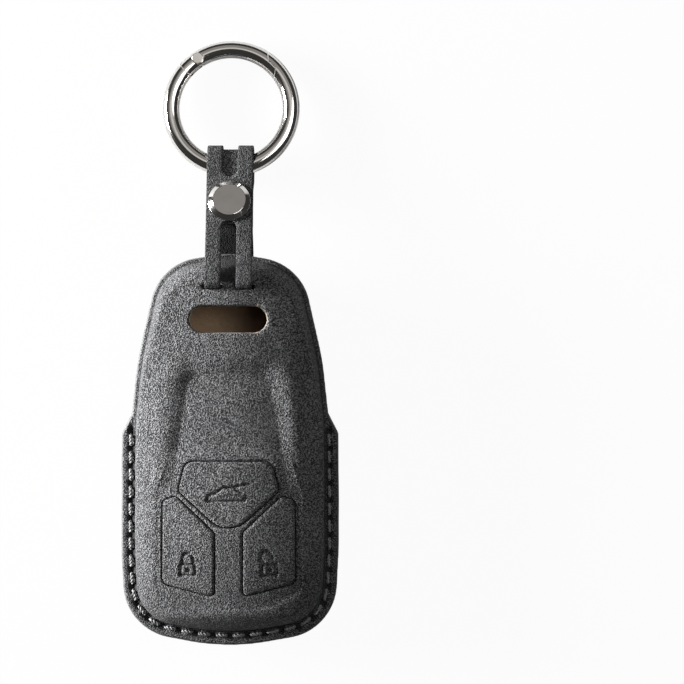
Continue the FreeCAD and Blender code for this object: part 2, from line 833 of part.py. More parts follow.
coilEdges = []
for i in range(2 * springTurns):
    a, b, c = coilPoint(i / 2), coilPoint(i / 2 + 0.25), coilPoint(i / 2 + 0.5)
    coilEdges.append(Part.Arc(a, b, c).toShape())
coilSpine = Part.Wire(coilEdges)
firstWay = coilEdges[0].tangentAt(coilEdges[0].FirstParameter)
coilRing = Part.Wire(Part.makeCircle(springWire / 2, coilPoint(0), firstWay))
gateSpring = coilSpine.makePipeShell([coilRing], True, False)
turnSpace = FreeCAD.Rotation(V(0, 0, 1), boreWay)
gateSpring.Placement = FreeCAD.Placement(onBore(springStart), turnSpace)
samples = [coilPoint(k / 40.0) for k in range(40 * springTurns + 1)]
nearest = min((samples[i] - samples[j]).Length for i in range(len(samples))
              for j in range(i + 20, len(samples)))
print("spring self gap", round(nearest - springWire, 3))
print("strap bend radii", tailBend, mouthBend, innerBend, slitBend, round(outerTurn, 3))

nodes = {
    "front_panel": frontPanel,
    "front_lining": frontLining,
    "back_panel": backPanel,
    "back_lining": backLining,
    "back_flap": backFlap,
    "back_flap_lining": flapLining,
    "boot_pad": pads["boot_pad"],
    "lock_pad": pads["lock_pad"],
    "unlock_pad": pads["unlock_pad"],
    "stitches_front": stitchesFront,
    "stitches_back": stitchesBack,
    "strap": strap,
    "strap_loop": strapLoop,
    "rivet_cap": rivetCap,
    "rivet_base": rivetBase,
    "ring_body": laid(ringBody),
    "ring_gate": laid(ringGate),
    "gate_pin": laid(gatePin),
    "gate_plunger": laid(gatePlunger),
    "gate_spring": laid(gateSpring),
}

# The origin goes to the middle of the box's underside
farEnd = axisY + (axisBack + ringRadius) * math.cos(tilt) + wireRadius
nearEnd = outline(outer, flat(0.0)).BoundBox.YMin
middle = (farEnd + nearEnd) / 2
for name, shape in nodes.items():
    shape.translate(V(0, -middle, 0))
    shape.exportStep("parts/" + name + ".step")
    print(name, shape.isValid(), len(shape.Solids), round(shape.Volume, 2))


def told(label, p):
    print(label, round(p.x, 4), round(p.y - middle, 4), round(p.z, 4))


ringCentre = V(0, axisY + axisBack * math.cos(tilt), axisZ - axisBack * math.sin(tilt))
spin = FreeCAD.Rotation(V(1, 0, 0), -math.degrees(tilt))
told("flap axis", V(0, splitY, 0))
tailY, tailZ, _ = singleLayer[1]
backLegZ = bandZ + (tailZ - bandZ) * (swingY - mouthTurnY) / (tailY - mouthTurnY)
frontLegZ = slitTurnZ - (swingY - slitY) * math.tan(slope)
told("swing axis", V(0, swingY, (frontLegZ + backLegZ) / 2))
told("ring axis", V(0, axisY, axisZ))
told("gate pin", ringCentre + spin.multVec(V(pinX, pinY, 0)))
print("ring normal", spin.multVec(V(0, 0, 1)))
print("bore way", spin.multVec(boreWay))
print("stitches", stitchCount, "seam z", seamZ, "rivet z", round(rivetZ, 3), "slit turn", round(slitTurnZ, 3))
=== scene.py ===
import bpy
import bmesh
import json
import math
import numpy as np
from mathutils import Matrix, Vector, kdtree, noise


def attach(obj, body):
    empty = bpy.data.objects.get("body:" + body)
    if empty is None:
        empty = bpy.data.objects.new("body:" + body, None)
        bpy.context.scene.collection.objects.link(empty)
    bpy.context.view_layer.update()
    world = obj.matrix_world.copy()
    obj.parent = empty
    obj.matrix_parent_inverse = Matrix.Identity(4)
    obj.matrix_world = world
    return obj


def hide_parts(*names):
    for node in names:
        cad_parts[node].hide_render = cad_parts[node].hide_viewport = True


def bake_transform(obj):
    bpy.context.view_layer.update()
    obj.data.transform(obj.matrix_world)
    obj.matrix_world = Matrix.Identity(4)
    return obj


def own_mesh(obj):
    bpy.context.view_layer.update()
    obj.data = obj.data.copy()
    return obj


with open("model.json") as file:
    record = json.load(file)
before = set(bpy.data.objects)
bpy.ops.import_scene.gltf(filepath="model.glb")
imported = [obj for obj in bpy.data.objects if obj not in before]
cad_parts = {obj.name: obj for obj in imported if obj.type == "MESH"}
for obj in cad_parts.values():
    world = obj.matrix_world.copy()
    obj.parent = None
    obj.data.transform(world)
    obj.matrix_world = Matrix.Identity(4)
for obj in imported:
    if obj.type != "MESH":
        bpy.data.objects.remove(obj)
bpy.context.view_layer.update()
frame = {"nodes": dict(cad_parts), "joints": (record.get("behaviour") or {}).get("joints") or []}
scene = bpy.context.scene
mm = 0.001


# Shader maths

class Wire:
    # A shader socket that takes arithmetic; add() makes any other node.
    def __init__(self, tree, socket=None):
        self.tree = tree
        self.socket = socket

    def add(self, kind, settings, values, out=0):
        node = self.tree.nodes.new(kind)
        for key, value in settings.items():
            setattr(node, key, value)
        for key, value in values.items():
            if isinstance(value, Wire):
                self.tree.links.new(value.socket, node.inputs[key])
            else:
                node.inputs[key].default_value = value
        return Wire(self.tree, node.outputs[out])

    def maths(self, operation, first, second=0.0):
        return self.add("ShaderNodeMath", {"operation": operation}, {0: first, 1: second})

    def __add__(self, other):
        return self.maths("ADD", self, other)

    def __radd__(self, other):
        return self.maths("ADD", other, self)

    def __sub__(self, other):
        return self.maths("SUBTRACT", self, other)

    def __rsub__(self, other):
        return self.maths("SUBTRACT", other, self)

    def __mul__(self, other):
        return self.maths("MULTIPLY", self, other)

    def __rmul__(self, other):
        return self.maths("MULTIPLY", other, self)

    def ramp(self, low, high, toLow=0.0, toHigh=1.0):
        return self.add("ShaderNodeMapRange", {"clamp": True},
                        {0: self, 1: low, 2: high, 3: toLow, 4: toHigh})

    def mixed(self, first, second):
        # Colour from first to second as this value goes from 0 to 1.
        values = {0: self}
        for key, colour in ((6, first), (7, second)):
            values[key] = colour if isinstance(colour, Wire) else (*colour, 1.0)
        return self.add("ShaderNodeMix", {"data_type": "RGBA"}, values, 2)

    def millimetres(self):
        place = self.add("ShaderNodeTexCoord", {}, {}, "Object")
        return self.add("ShaderNodeVectorMath", {"operation": "MULTIPLY"}, {0: place, 1: (1.0 / mm,) * 3})

    def grain(self, place, scale, detail=2.0, rough=0.5, twist=0.0):
        return self.add("ShaderNodeTexNoise", {}, {"Vector": place, "Scale": scale, "Detail": detail,
                        "Roughness": rough, "Distortion": twist}, 0)

    def bump(self, height, distance, strength=1.0):
        return self.add("ShaderNodeBump", {}, {"Height": height, "Distance": distance, "Strength": strength})

    def attribute(self, name):
        return self.add("ShaderNodeAttribute", {"attribute_name": name}, {}, "Fac")


def newMaterial(name, links, **sockets):
    # A Principled material: fixed values by socket, links by a function of the tree's first wire.
    made = bpy.data.materials.new(name)
    made.use_nodes = True
    shader = made.node_tree.nodes["Principled BSDF"]
    for key, value in sockets.items():
        shader.inputs[key.replace("_", " ")].default_value = value
    for key, wire in links(Wire(made.node_tree)).items():
        made.node_tree.links.new(wire.socket, shader.inputs[key])
    return made


# Materials

suede = {
    "dark": (0.016, 0.016, 0.017), "light": (0.256, 0.258, 0.264), "paint": (0.110, 0.110, 0.114),
    "nap": 3.3, "tufts": 1.5, "patches": 0.12, "tone": (0.435, 0.585), "bump": 0.00150,
}


def suedeLinks(root):
    place = root.millimetres()
    nap = root.grain(place, suede["nap"], 1.0, 0.5)
    tufts = root.grain(place, suede["tufts"], 2.0, 0.5, 0.4)
    patches = root.grain(place, suede["patches"], 2.0)
    height = nap * 0.80 + tufts * 0.20
    painted = root.attribute("edge").ramp(0.25, 0.75)
    # This attribute darkens the nap's colour where painted shade lies, and on the rim
    paintedShade = root.attribute("paintedShade")
    tone = height.ramp(*suede["tone"]) * 0.90 + patches.ramp(0.3, 0.7) * 0.10
    colour = (tone * (1.0 - paintedShade)).mixed(suede["dark"], suede["light"])
    lift = height * (1.0 - painted) + painted * tufts * 0.06
    return {
        "Base Color": painted.mixed(colour, suede["paint"]),
        "Roughness": painted.ramp(0.0, 1.0, 0.94, 0.42),
        "Normal": root.bump(lift, suede["bump"], 1.0),
    }


suedeMaterial = newMaterial("suede", suedeLinks, Sheen_Weight=0.03, Sheen_Roughness=0.5,
                            Sheen_Tint=(0.8, 0.8, 0.82, 1.0), Specular_IOR_Level=0.25)


lining = {
    # the last colour is the painted shade in the pocket behind the window
    "dark": (0.42, 0.275, 0.155), "light": (0.60, 0.415, 0.25), "pocketShade": (0.10, 0.062, 0.038),
    "pores": 4.0, "creases": 0.9, "bump": 0.00010,
}


def liningLinks(root):
    place = root.millimetres()
    pores = root.grain(place, lining["pores"], 2.0, 0.6)
    creases = root.grain(place, lining["creases"], 3.0, 0.6, 0.4)
    tone = pores * 0.5 + creases * 0.5
    colour = tone.ramp(0.35, 0.7).mixed(lining["dark"], lining["light"])
    # painted shade in the pocket darkens the lining
    colour = root.attribute("paintedShade").mixed(colour, lining["pocketShade"])
    return {
        "Base Color": root.attribute("edge").mixed(colour, suede["paint"]),
        "Roughness": tone.ramp(0.3, 0.7, 0.5, 0.68),
        "Normal": root.bump(tone, lining["bump"], 0.6),
    }


liningMaterial = newMaterial("lining", liningLinks)

yarn = {
    "dark": (0.128, 0.128, 0.132), "light": (0.288, 0.288, 0.296),
    "fibres": 9.0, "wear": 0.7, "bump": 0.00004,
}


def threadLinks(root):
    place = root.millimetres()
    fibres = root.grain(place, yarn["fibres"], 2.0, 0.6)
    wear = root.grain(place, yarn["wear"], 2.0)
    tone = fibres * 0.65 + wear * 0.35
    return {
        "Base Color": tone.ramp(0.3, 0.7).mixed(yarn["dark"], yarn["light"]),
        "Roughness": fibres.ramp(0.3, 0.7, 0.30, 0.45),
        "Normal": root.bump(fibres, yarn["bump"], 0.7),
    }


threadMaterial = newMaterial("thread", threadLinks)

nickel = {
    "dark": (0.80, 0.775, 0.745), "light": (0.88, 0.86, 0.835),
    "haze": 0.35, "specks": 6.0, "bump": 0.000004,
}


def nickelLinks(root):
    place = root.millimetres()
    haze = root.grain(place, nickel["haze"], 3.0, 0.6)
    specks = root.grain(place, nickel["specks"], 2.0, 0.6)
    return {
        "Base Color": haze.ramp(0.3, 0.7).mixed(nickel["dark"], nickel["light"]),
        "Roughness": haze * 0.08 + specks * 0.04 + 0.03,
        "Normal": root.bump(specks, nickel["bump"], 0.25),
    }


nickelMaterial = newMaterial("nickel", nickelLinks, Metallic=1.0)

steel = {"dark": (0.42, 0.42, 0.43), "light": (0.56, 0.56, 0.57), "marks": 5.0}


def steelLinks(root):
    place = root.millimetres()
    marks = root.grain(place, steel["marks"], 3.0, 0.6)
    return {
        "Base Color": marks.ramp(0.3, 0.7).mixed(steel["dark"], steel["light"]),
        "Roughness": marks.ramp(0.3, 0.7, 0.25, 0.4),
    }


steelMaterial = newMaterial("steel", steelLinks, Metallic=1.0)
print("materials made")


# Mesh helpers, all in millimetres

noShift = (0, 0, 0)


def newPiece(name, points, faces, material):
    mesh = bpy.data.meshes.new(name)
    mesh.from_pydata([tuple(p) for p in np.asarray(points) * mm], [], faces)
    mesh.update()
    return linked(name, mesh, material)


def linked(name, mesh, material):
    mesh.name = name
    mesh.polygons.foreach_set("use_smooth", [True] * len(mesh.polygons))
    piece = bpy.data.objects.new(name, mesh)
    scene.collection.objects.link(piece)
    mesh.materials.clear()
    mesh.materials.append(material)
    return piece


def skinned(name, parts, voxel, material, fills=()):
    # One closed skin round copies of CAD nodes, each moved by its shift, and round any fills.
    joined = bmesh.new()
    for fill in fills:
        bmesh.ops.create_cube(joined, size=1.0, matrix=fill)
    for node, shift in parts:
        copy = frame["nodes"][node].data.copy()
        copy.transform(Matrix.Translation(Vector(shift) * mm))
        joined.from_mesh(copy)
        bpy.data.meshes.remove(copy)
    bmesh.ops.remove_doubles(joined, verts=joined.verts, dist=1e-7)
    raw = bpy.data.meshes.new("raw")
    joined.to_mesh(raw)
    joined.free()
    holder = bpy.data.objects.new("raw", raw)
    scene.collection.objects.link(holder)
    cells = holder.modifiers.new("cells", "REMESH")
    cells.mode = "VOXEL"
    cells.voxel_size = voxel * mm
    graph = bpy.context.evaluated_depsgraph_get()
    mesh = bpy.data.meshes.new_from_object(holder.evaluated_get(graph))
    bpy.data.objects.remove(holder)
    bpy.data.meshes.remove(raw)
    return linked(name, mesh, material)


def pointsOf(mesh):
    flat = np.empty(3 * len(mesh.vertices))
    mesh.vertices.foreach_get("co", flat)
    return flat.reshape(-1, 3) / mm


def setPoints(mesh, points):
    mesh.vertices.foreach_set("co", (points * mm).ravel())
    mesh.update()


def normalsOf(mesh):
    flat = np.empty(3 * len(mesh.vertices))
    mesh.vertex_normals.foreach_get("vector", flat)
    return flat.reshape(-1, 3)


def eased(points, mesh, weight, rounds, axes=(0, 1, 2)):
    # Each point goes towards the mean of its neighbours, as far as its weight lets it.
    pairs = np.empty(2 * len(mesh.edges), dtype=np.int64)
    mesh.edges.foreach_get("vertices", pairs)
    a, b = pairs.reshape(-1, 2).T
    size = len(points)
    near = np.maximum(np.bincount(a, minlength=size) + np.bincount(b, minlength=size), 1)
    points = points.copy()
    for _ in range(rounds):
        for k in axes:
            line = points[:, k]
            total = np.bincount(a, line[b], size) + np.bincount(b, line[a], size)
            points[:, k] = line + 0.5 * weight * (total / near - line)
    return points


def step(values, low, high):
    t = np.clip((values - low) / (high - low), 0.0, 1.0)
    return t * t * (3.0 - 2.0 * t)


def nearestTo(points, targets):
    tree = kdtree.KDTree(len(targets))
    for i, target in enumerate(targets):
        tree.insert(target, i)
    tree.balance()
    return np.array([tree.find(p)[2] for p in points])


def giveAttribute(mesh, name, values):
    layer = mesh.attributes.new(name, "FLOAT", "POINT")
    layer.data.foreach_set("value", values.astype(np.float32))


def waves(points, normals, pitch, height):
    lift = np.array([noise.noise(Vector(p) / pitch) for p in points])
    return points + normals * (lift * height)[:, None]


# Form of the case: heights of the rim, and the swell of the front across it
form = {
    "rimTop": 9.68, "rimLow": 6.32, "face": 18.0,
    "swellX": (0.0, 5.0, 10.0, 14.0, 15.7, 17.0, 18.5, 19.6, 20.4, 21.6, 23.5),
    "swellDrop": (0.0, 0.22, 0.86, 1.70, 2.15, 2.72, 3.58, 4.42, 5.28, 7.00, 10.50),
}


def swell(x):
    return form["face"] - np.interp(np.abs(x), form["swellX"], form["swellDrop"])


# Sunken middle: the plate's outline, the walls that roll over to the face, and the solid's own recess
plate = {
    "top": -7.7, "half": 8.95, "widen": 0.158, "middle": 0.15, "round": 2.2, "corner": 3.0,
    "sideWall": 4.9, "lowWall": 4.2, "narrowY": (12.0, 24.0), "topWall": 5.2, "straight": 0.42,
    "crest": 0.26, "crestFade": (1.0, 1.7), "lowPan": 0.50, "lowPanY": (-26.5, -22.5),
    "depth": 1.2, "rise": 0.048, "deepY": -7.5, "level": 16.08, "slope": 0.245, "slopeEnd": -10.44,
    "recessEnd": -29.0, "pan": 0.35, "panY": -23.2, "panHalf": 13.0, "panWiden": 0.32, "panReach": 10.0,
    "lowFade": (-34.5, -30.0), "topFade": (-2.4, -1.6), "sideFade": (16.0, 18.0), "lowest": 13.0,
}


def solidRecess(x, y, face, deep):
    # Height of the solid's own surface in and beside the recess.
    flat = plate["level"] + plate["slope"] * np.maximum(y - plate["slopeEnd"], 0.0)
    recess = np.where(y > plate["recessEnd"], np.maximum(face - deep, flat), face)
    widening = plate["panWiden"] * np.clip(plate["panY"] - y, 0.0, plate["panReach"])
    inPan = (np.abs(x) < plate["panHalf"] + widening) & (y < plate["panY"])
    return np.minimum(np.minimum(face, recess), np.where(inPan, face - plate["pan"], face))


def plateShare(x, y):
    # How far each point is up the wall round the plate, and how much it belongs to the side walls.
    over = y - plate["top"] + plate["round"]
    side = np.abs(x - plate["middle"]) - plate["half"] - plate["widen"] * np.maximum(plate["top"] - y, 0.0)
    beside = side / math.hypot(1.0, plate["widen"]) + plate["round"]
    outside = np.hypot(np.maximum(over, 0.0), np.maximum(beside, 0.0))
    past = outside + np.minimum(np.maximum(over, beside), 0.0) - plate["round"]
    sides = step(beside - over, -plate["corner"], plate["corner"])
    wide = plate["sideWall"] + (plate["lowWall"] - plate["sideWall"]) * step(-y, *plate["narrowY"])
    return np.maximum(past / (plate["topWall"] + (wide - plate["topWall"]) * sides), 0.0), sides


def sunkenMove(points):
    # How far each point of the front goes up or down to give the plate its edges.
    x, y, z = points.T
    face = swell(x)
    deep = plate["depth"] - plate["rise"] * (plate["deepY"] - y)
    share, sides = plateShare(x, y)
    straight = plate["straight"]
    bend = np.clip(share - straight, 0.0, 1.0 - straight)
    climb = np.minimum(share, straight) + bend - bend * bend / (2.0 - 2.0 * straight)
    climb = 2.0 * climb / (1.0 + straight)
    inner = np.clip(deep, plate["pan"] + plate["lowPan"] * step(y, *plate["lowPanY"]), plate["depth"])
    crest = plate["crest"] * sides * (1.0 - step(share, *plate["crestFade"]))
    target = face - inner + (inner + crest) * climb
    fade = step(y, *plate["lowFade"]) * (1.0 - step(y, *plate["topFade"])) * (z > plate["lowest"])
    fade = fade * (1.0 - step(np.abs(x), *plate["sideFade"]))
    return fade * (target - solidRecess(x, y, face, deep))


def sunken(points):
    moved = points.copy()
    moved[:, 2] += sunkenMove(points)
    return moved


# Painted shade: the front is darker towards both ends, most at the low end
shade = {"low": 0.36, "lowY": (-60.0, -40.0), "top": 0.08, "topY": (-12.0, -2.0)}


def endShade(points):
    low = shade["low"] * (1.0 - step(points[:, 1], *shade["lowY"]))
    return low + shade["top"] * step(points[:, 1], *shade["topY"])


# Painted outer edge of the rim, found in sectors of 2 degrees round the case's middle
rimPaint = {
    "middleY": -24.0, "height": 8.0, "reach": 1.9, "sector": 2.0, "steep": 0.4,
    "band": 1.2, "search": 3.0, "fade": (0.25, 0.75),
}


def rimEdge(points, normals):
    # How much each point belongs to the painted edge.
    x, y = points[:, 0], points[:, 1] - rimPaint["middleY"]
    reach = np.hypot(x, y)
    turn = ((np.degrees(np.arctan2(y, x)) + 360.0) % 360.0 / rimPaint["sector"]).astype(int)
    rim = np.abs(points[:, 2] - rimPaint["height"]) < rimPaint["reach"]
    most = np.zeros(int(360.0 / rimPaint["sector"]) + 1)
    np.maximum.at(most, turn[rim], reach[rim])
    outer = rim & (np.abs(normals[:, 2]) < rimPaint["steep"]) & (reach > most[turn] - rimPaint["band"])
    value = np.zeros(len(points))
    near = np.where(rim & (reach > most[turn] - rimPaint["search"]))[0]
    value[near] = 1.0 - step(nearestTo(points[near], points[outer][::3]), *rimPaint["fade"])
    return value


# Seam threads: the stitches' places, from the staples of the CAD
thread = {
    "radius": 0.38, "ply": 0.215, "twist": 0.185, "pitch": 1.5, "bend": 0.55, "lag": 1.7,
    "sides": 8, "rings": 34, "cornerRows": 6,
    "legGap": 0.9, "dimple": 0.55, "dimpleLow": 0.97, "dimpleSize": (3.1, 1.4),
}


def islands(mesh):
    joined = bmesh.new()
    joined.from_mesh(mesh)
    bmesh.ops.remove_doubles(joined, verts=joined.verts, dist=1e-7)
    seen = set()
    found = []
    for start in joined.verts:
        if start in seen:
            continue
        seen.add(start)
        group = [start]
        for vert in group:
            for edge in vert.link_edges:
                other = edge.other_vert(vert)
                if other not in seen:
                    seen.add(other)
                    group.append(other)
        found.append(np.array([v.co for v in group]) / mm)
    joined.free()
    return found


def staples(node):
    # Centre, direction, half span and heights of each stitch.
    found = []
    for group in islands(frame["nodes"][node].data):
        centre = (group[:, :2].max(0) + group[:, :2].min(0)) / 2
        way = np.linalg.svd(group[:, :2] - centre, full_matrices=False)[2][0]
        along = (group[:, :2] - centre) @ way
        half = (along.max() - along.min()) / 2 - thread["radius"]
        found.append((centre, way, half, group[:, 2].min(), group[:, 2].max()))
    return found


frontStaples = staples("stitches_front")
backStaples = staples("stitches_back")


def needleHoles(rows):
    # Place and direction of each needle hole.
    return [(centre + sign * way * (half + thread["legGap"]), way)
            for centre, way, half, _, _ in rows for sign in (-1.0, 1.0)]


def dimples(rows, low, high):
    # Blocks that close the needle holes below the threads.
    blocks = []
    for spot, way in needleHoles(rows):
        place = Matrix.Translation((spot[0] * mm, spot[1] * mm, (low + high) / 2 * mm))
        turn = Matrix.Rotation(math.atan2(way[1], way[0]), 4, "Z")
        length, width = thread["dimpleSize"]
        blocks.append(place @ turn @ Matrix.Diagonal((length * mm, width * mm, (high - low) * mm, 1.0)))
    return blocks


# Suede panels: easing, the edges that stay crisp, a darker rim and the painted shade that darkens them
panelLook = {
    "frontVoxel": 0.26, "backVoxel": 0.28,
    "ease": 3, "soften": 6, "settle": 1, "wavePitch": 7.0, "waveHeight": 0.07, "softZ": (10.4, 11.2),
    "steep": 0.45, "cutDepth": 0.55, "cutX": 15.6, "cutY": (-57.5, 13.5), "cutZ": 13.0, "cutFade": (0.3, 1.2),
    # rim darkens the rim; holes, crease and strap are painted shade round the needle holes, in the crease
    # beside the rim and under the strap
    "rim": 0.18, "rimFade": (1.75, 2.1), "rimReach": 2.2, "holes": 0.70, "holeFade": (0.6, 1.3),
    "crease": 0.75, "creaseAt": 2.05, "creaseFade": (0.15, 0.5),
    "strap": 0.88, "strapX": (4.6, 5.2), "strapY": (12.6, 13.4), "shadeZ": (9.8, 10.6),
}


def panelPaintedShade(points, top):
    # Darker on the rim, and painted shade round the needle holes, in the crease beside the rim, under the
    # strap and towards both ends.
    look = panelLook
    x, y, z = points.T
    height = np.abs(z - rimPaint["height"])
    paintedShade = look["rim"] * (1.0 - step(height, *look["rimFade"]))
    rim = np.where(height < look["rimReach"])[0]
    holes = [(*spot, 0.0) for spot, _ in needleHoles(frontStaples if top else backStaples)]
    away = nearestTo(np.c_[points[rim, :2], np.zeros(len(rim))], np.array(holes))
    paintedShade[rim] += look["holes"] * (1.0 - step(away, *look["holeFade"]))
    crease = 1.0 - step(np.abs(height - look["creaseAt"]), *look["creaseFade"])
    paintedShade = np.maximum(paintedShade, look["crease"] * crease)
    if top:
        under = (1.0 - step(np.abs(x), *look["strapX"])) * step(y, *look["strapY"])
        paintedShade = np.maximum(paintedShade, look["strap"] * under)
        paintedShade = np.maximum(paintedShade, endShade(points) * step(z, *look["shadeZ"]))
    return paintedShade


def panel(name, parts, top, fills):
    # Soft skin with crisp cut edges and a painted rim.
    look = panelLook
    piece = skinned(name, parts, look["frontVoxel" if top else "backVoxel"], suedeMaterial, fills)
    mesh = piece.data
    points = eased(pointsOf(mesh), mesh, np.ones(len(mesh.vertices)), look["ease"])
    setPoints(mesh, points)
    normals = normalsOf(mesh)
    if top:
        x, y, z = points.T
        cut = (np.abs(normals[:, 2]) < look["steep"]) & (swell(x) - z > look["cutDepth"]) & (z > look["cutZ"])
        cut &= (np.abs(x) < look["cutX"]) & (y > look["cutY"][0]) & (y < look["cutY"][1])
        weight = step(z, *look["softZ"])
        chosen = np.where(weight > 0)[0]
        weight[chosen] *= step(nearestTo(points[chosen], points[cut][::2]), *look["cutFade"])
        points = sunken(eased(points, mesh, weight, look["soften"]))
        points = eased(points, mesh, weight, look["settle"])
    points = waves(points, normals, look["wavePitch"], look["waveHeight"])
    setPoints(mesh, points)
    giveAttribute(mesh, "edge", rimEdge(points, normalsOf(mesh)))
    # painted shade round the holes, in the crease, under the strap and towards the ends, with a darker rim
    giveAttribute(mesh, "paintedShade", panelPaintedShade(points, top))
    return piece


def block(low, high):
    middle = [(a + b) / 2 * mm for a, b in zip(low, high)]
    return Matrix.Translation(middle) @ Matrix.Diagonal([(b - a) * mm for a, b in zip(low, high)] + [1.0])


# The slit closes round the strap: blocks along both lips, at both ends and between the strap's legs
slit = {
    "low": 16.6, "inset": 0.05, "ends": (-6.6, 6.0), "pace": 1.1,
    "frontLip": (11.0, 11.45), "backLip": (12.56, 13.0),
    "endX": 6.275, "endHalf": 0.525, "endY": (11.0, 13.0), "legHalf": 1.5, "legY": (11.2, 12.9),
}


def slitFill(x0, x1, span):
    top = swell((x0 + x1) / 2) - slit["inset"]
    return block((x0, span[0], slit["low"]), (x1, span[1], top))


slitBlocks = [slitFill(-slit["legHalf"], slit["legHalf"], slit["legY"])]
for x in np.arange(*slit["ends"], slit["pace"]):
    slitBlocks += [slitFill(x, x + slit["pace"], slit[lip]) for lip in ("frontLip", "backLip")]
for x in (-slit["endX"], slit["endX"]):
    slitBlocks.append(slitFill(x - slit["endHalf"], x + slit["endHalf"], slit["endY"]))
topDimples = dimples(frontStaples, form["rimTop"] - thread["dimpleLow"], form["rimTop"] - thread["dimple"])
frontSuede = panel("front_suede", [("front_panel", noShift)], True, topDimples + slitBlocks)
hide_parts("front_panel")
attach(frontSuede, "case")
print("front suede", len(frontSuede.data.polygons))

# The back is one sheet: a second copy of the flap, moved down, closes its joint to the panel
flapShift = (0, -0.34, 0)
lowDimples = dimples(backStaples, form["rimLow"] + thread["dimple"], form["rimLow"] + thread["dimpleLow"])
backParts = [("back_panel", noShift), ("back_flap", noShift), ("back_flap", flapShift)]
backSuede = panel("back_suede", backParts, False, lowDimples)
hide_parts("back_panel", "back_flap")
print("back suede", len(backSuede.data.polygons))


# Linings: the cut edges are painted, and painted shade darkens the pocket's bottom on the right behind the
# window
liningLook = {
    "voxel": 0.3, "ease": 2, "steep": 0.8, "outward": 0.3,
    "windowX": 9.5, "windowY": (0.5, 9.5), "windowZ": 13.0,
    # painted shade: the pocket's bottom is darker to the right, under the window
    "pocketShade": 0.9, "pocketShadeX": (-5.0, 6.0), "pocketShadeY": (-4.0, 0.0),
}


def lined(name, parts, top):
    look = liningLook
    piece = skinned(name, parts, look["voxel"], liningMaterial)
    mesh = piece.data
    points = eased(pointsOf(mesh), mesh, np.ones(len(mesh.vertices)), look["ease"])
    setPoints(mesh, sunken(points) if top else points)
    x, y, z = points.T
    normals = normalsOf(mesh)
    fromMiddle = y - rimPaint["middleY"]
    facing = normals[:, 0] * x + normals[:, 1] * fromMiddle
    rim = facing > look["outward"] * np.hypot(x, fromMiddle)
    rim &= np.abs(z - rimPaint["height"]) < rimPaint["reach"]
    low, high = look["windowY"]
    window = (np.abs(x) < look["windowX"]) & (y > low) & (y < high) & (z > look["windowZ"])
    giveAttribute(mesh, "edge", 1.0 * ((np.abs(normals[:, 2]) < look["steep"]) & (window | rim)))
    # painted shade on the back lining's pocket only
    pocketShade = 0.0 if top else look["pocketShade"]
    giveAttribute(mesh, "paintedShade", pocketShade * step(x, *look["pocketShadeX"]) * step(y, *look["pocketShadeY"]))
    return piece


frontInner = lined("front_inner", [("front_lining", noShift)], True)
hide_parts("front_lining")
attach(frontInner, "case")
innerParts = [("back_lining", noShift), ("back_flap_lining", noShift), ("back_flap_lining", flapShift)]
backInner = lined("back_inner", innerParts, False)
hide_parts("back_lining", "back_flap_lining")
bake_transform(backSuede)
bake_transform(backInner)
print("linings", len(frontInner.data.polygons), len(backInner.data.polygons))

# Press pads: grown over most of the gap, with soft edges and deeper icons
padLook = {
    "voxel": 0.17, "soft": 5, "sunk": 0.23, "steep": 0.4, "sideDepth": (0.42, 1.0),
    "grow": 0.12, "growFade": (0.2, 0.5), "press": 2.3, "iconInset": 0.9, "iconDepth": 0.6,
}


def padPoints(mesh):
    look = padLook
    points = pointsOf(mesh)
    normals = normalsOf(mesh)
    depth = swell(points[:, 0]) - look["sunk"] - points[:, 2]
    rim = (np.abs(normals[:, 2]) < look["steep"]) & (depth < look["sideDepth"][1])
    edge = points[rim & (depth > look["sideDepth"][0])][:, :2]
    inside = nearestTo(np.c_[points[:, :2], np.zeros(len(points))], np.c_[edge, np.zeros(len(edge))])
    grow = rim * (1.0 - step(inside, *look["growFade"]))
    points[:, :2] += normals[:, :2] * (grow * look["grow"])[:, None]
    icon = np.maximum(depth, 0.0) * (inside > look["iconInset"]) * (depth < look["iconDepth"])
    points[:, 2] -= icon * (look["press"] - 1.0)
    return eased(points, mesh, np.ones(len(points)), look["soft"])


for node, body in (("boot_pad", "boot_button"), ("lock_pad", "lock_button"), ("unlock_pad", "unlock_button")):
    pad = skinned(node + "_suede", [(node, noShift)], padLook["voxel"], suedeMaterial)
    points = padPoints(pad.data)
    setPoints(pad.data, points)
    giveAttribute(pad.data, "edge", np.zeros(len(points)))
    # Painted shade: the pads are darker towards both ends of the front
    giveAttribute(pad.data, "paintedShade", endShade(points))
    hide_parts(node)
    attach(pad, body)
    print(node, len(pad.data.polygons))


# Threads: two twisted plies over each staple
def bow(half, low, high, bend):
    # Side view of a staple: up, over and down, as even points.
    corner = [(-half + bend - bend * math.cos(a), high - bend + bend * math.sin(a))
              for a in np.linspace(0.0, math.pi / 2, thread["cornerRows"])]
    line = [(-half, low)] + corner + [(-x, z) for x, z in reversed(corner)] + [(half, low)]
    line = np.array(line)
    along = np.concatenate(([0.0], np.cumsum(np.hypot(*np.diff(line, axis=0).T))))
    even = np.linspace(0.0, along[-1], thread["rings"])
    return np.stack((np.interp(even, along, line[:, 0]), np.interp(even, along, line[:, 1])), 1), even


